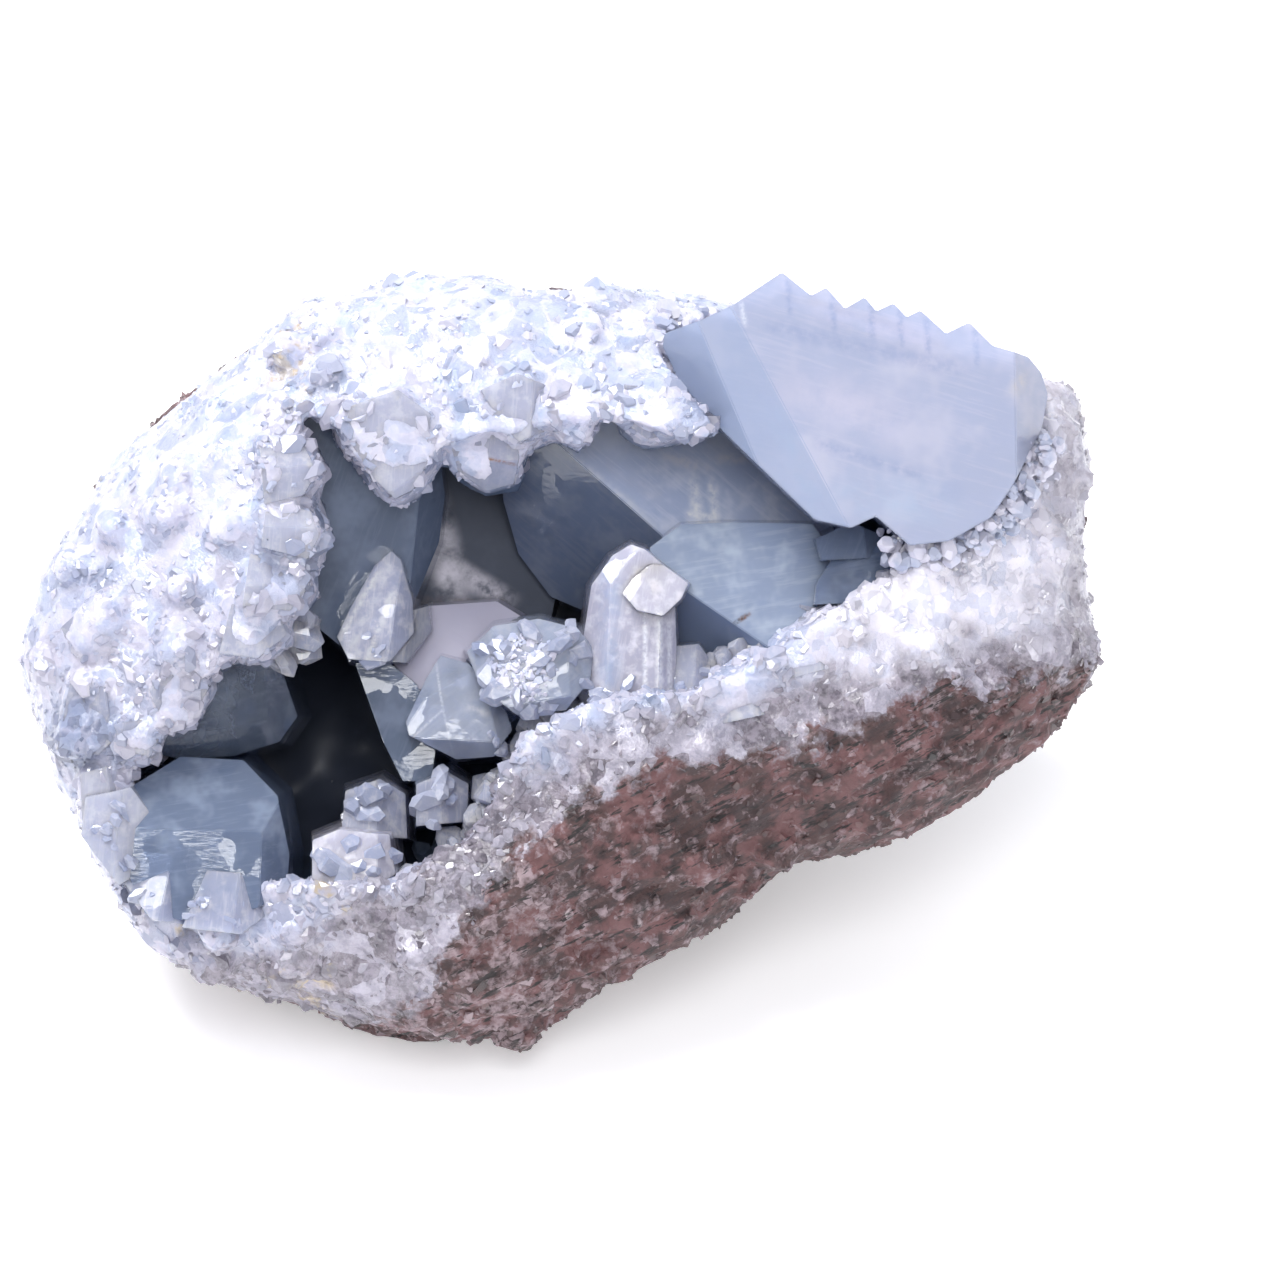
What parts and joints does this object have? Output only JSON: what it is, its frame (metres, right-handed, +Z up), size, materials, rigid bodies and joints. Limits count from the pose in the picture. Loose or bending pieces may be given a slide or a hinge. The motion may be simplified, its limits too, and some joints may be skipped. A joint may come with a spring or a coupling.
{
  "type": "celestite crystal",
  "caption": "Broken celestite geode: a rough stone wall around a hollow lined with blue crystals, a toothed blade crystal on its rim, resting on a small flat spot.",
  "frame": {"origin": "middle of the box, at the level of the flat spot that the stone rests on", "axes": "+Z up, +X along the stone's long side towards the blade crystal, and the mouth of the hollow looks towards -Y and up"},
  "size_m": [0.0976, 0.0582, 0.0627],
  "materials": {
    "geode_wall": "pale grainy celestite crust over rough pinkish brown host rock",
    "celestite_crust": "clear slate blue crystals with flat glossy faces",
    "celestite_blade": "pale periwinkle milky clear crystal with glossy faces"
  },
  "bodies": {
    "root": {"geode_wall": "geode_wall", "crystal_crust": "celestite_crust", "blade_crystal": "celestite_blade"}
  },
  "joints": []
}
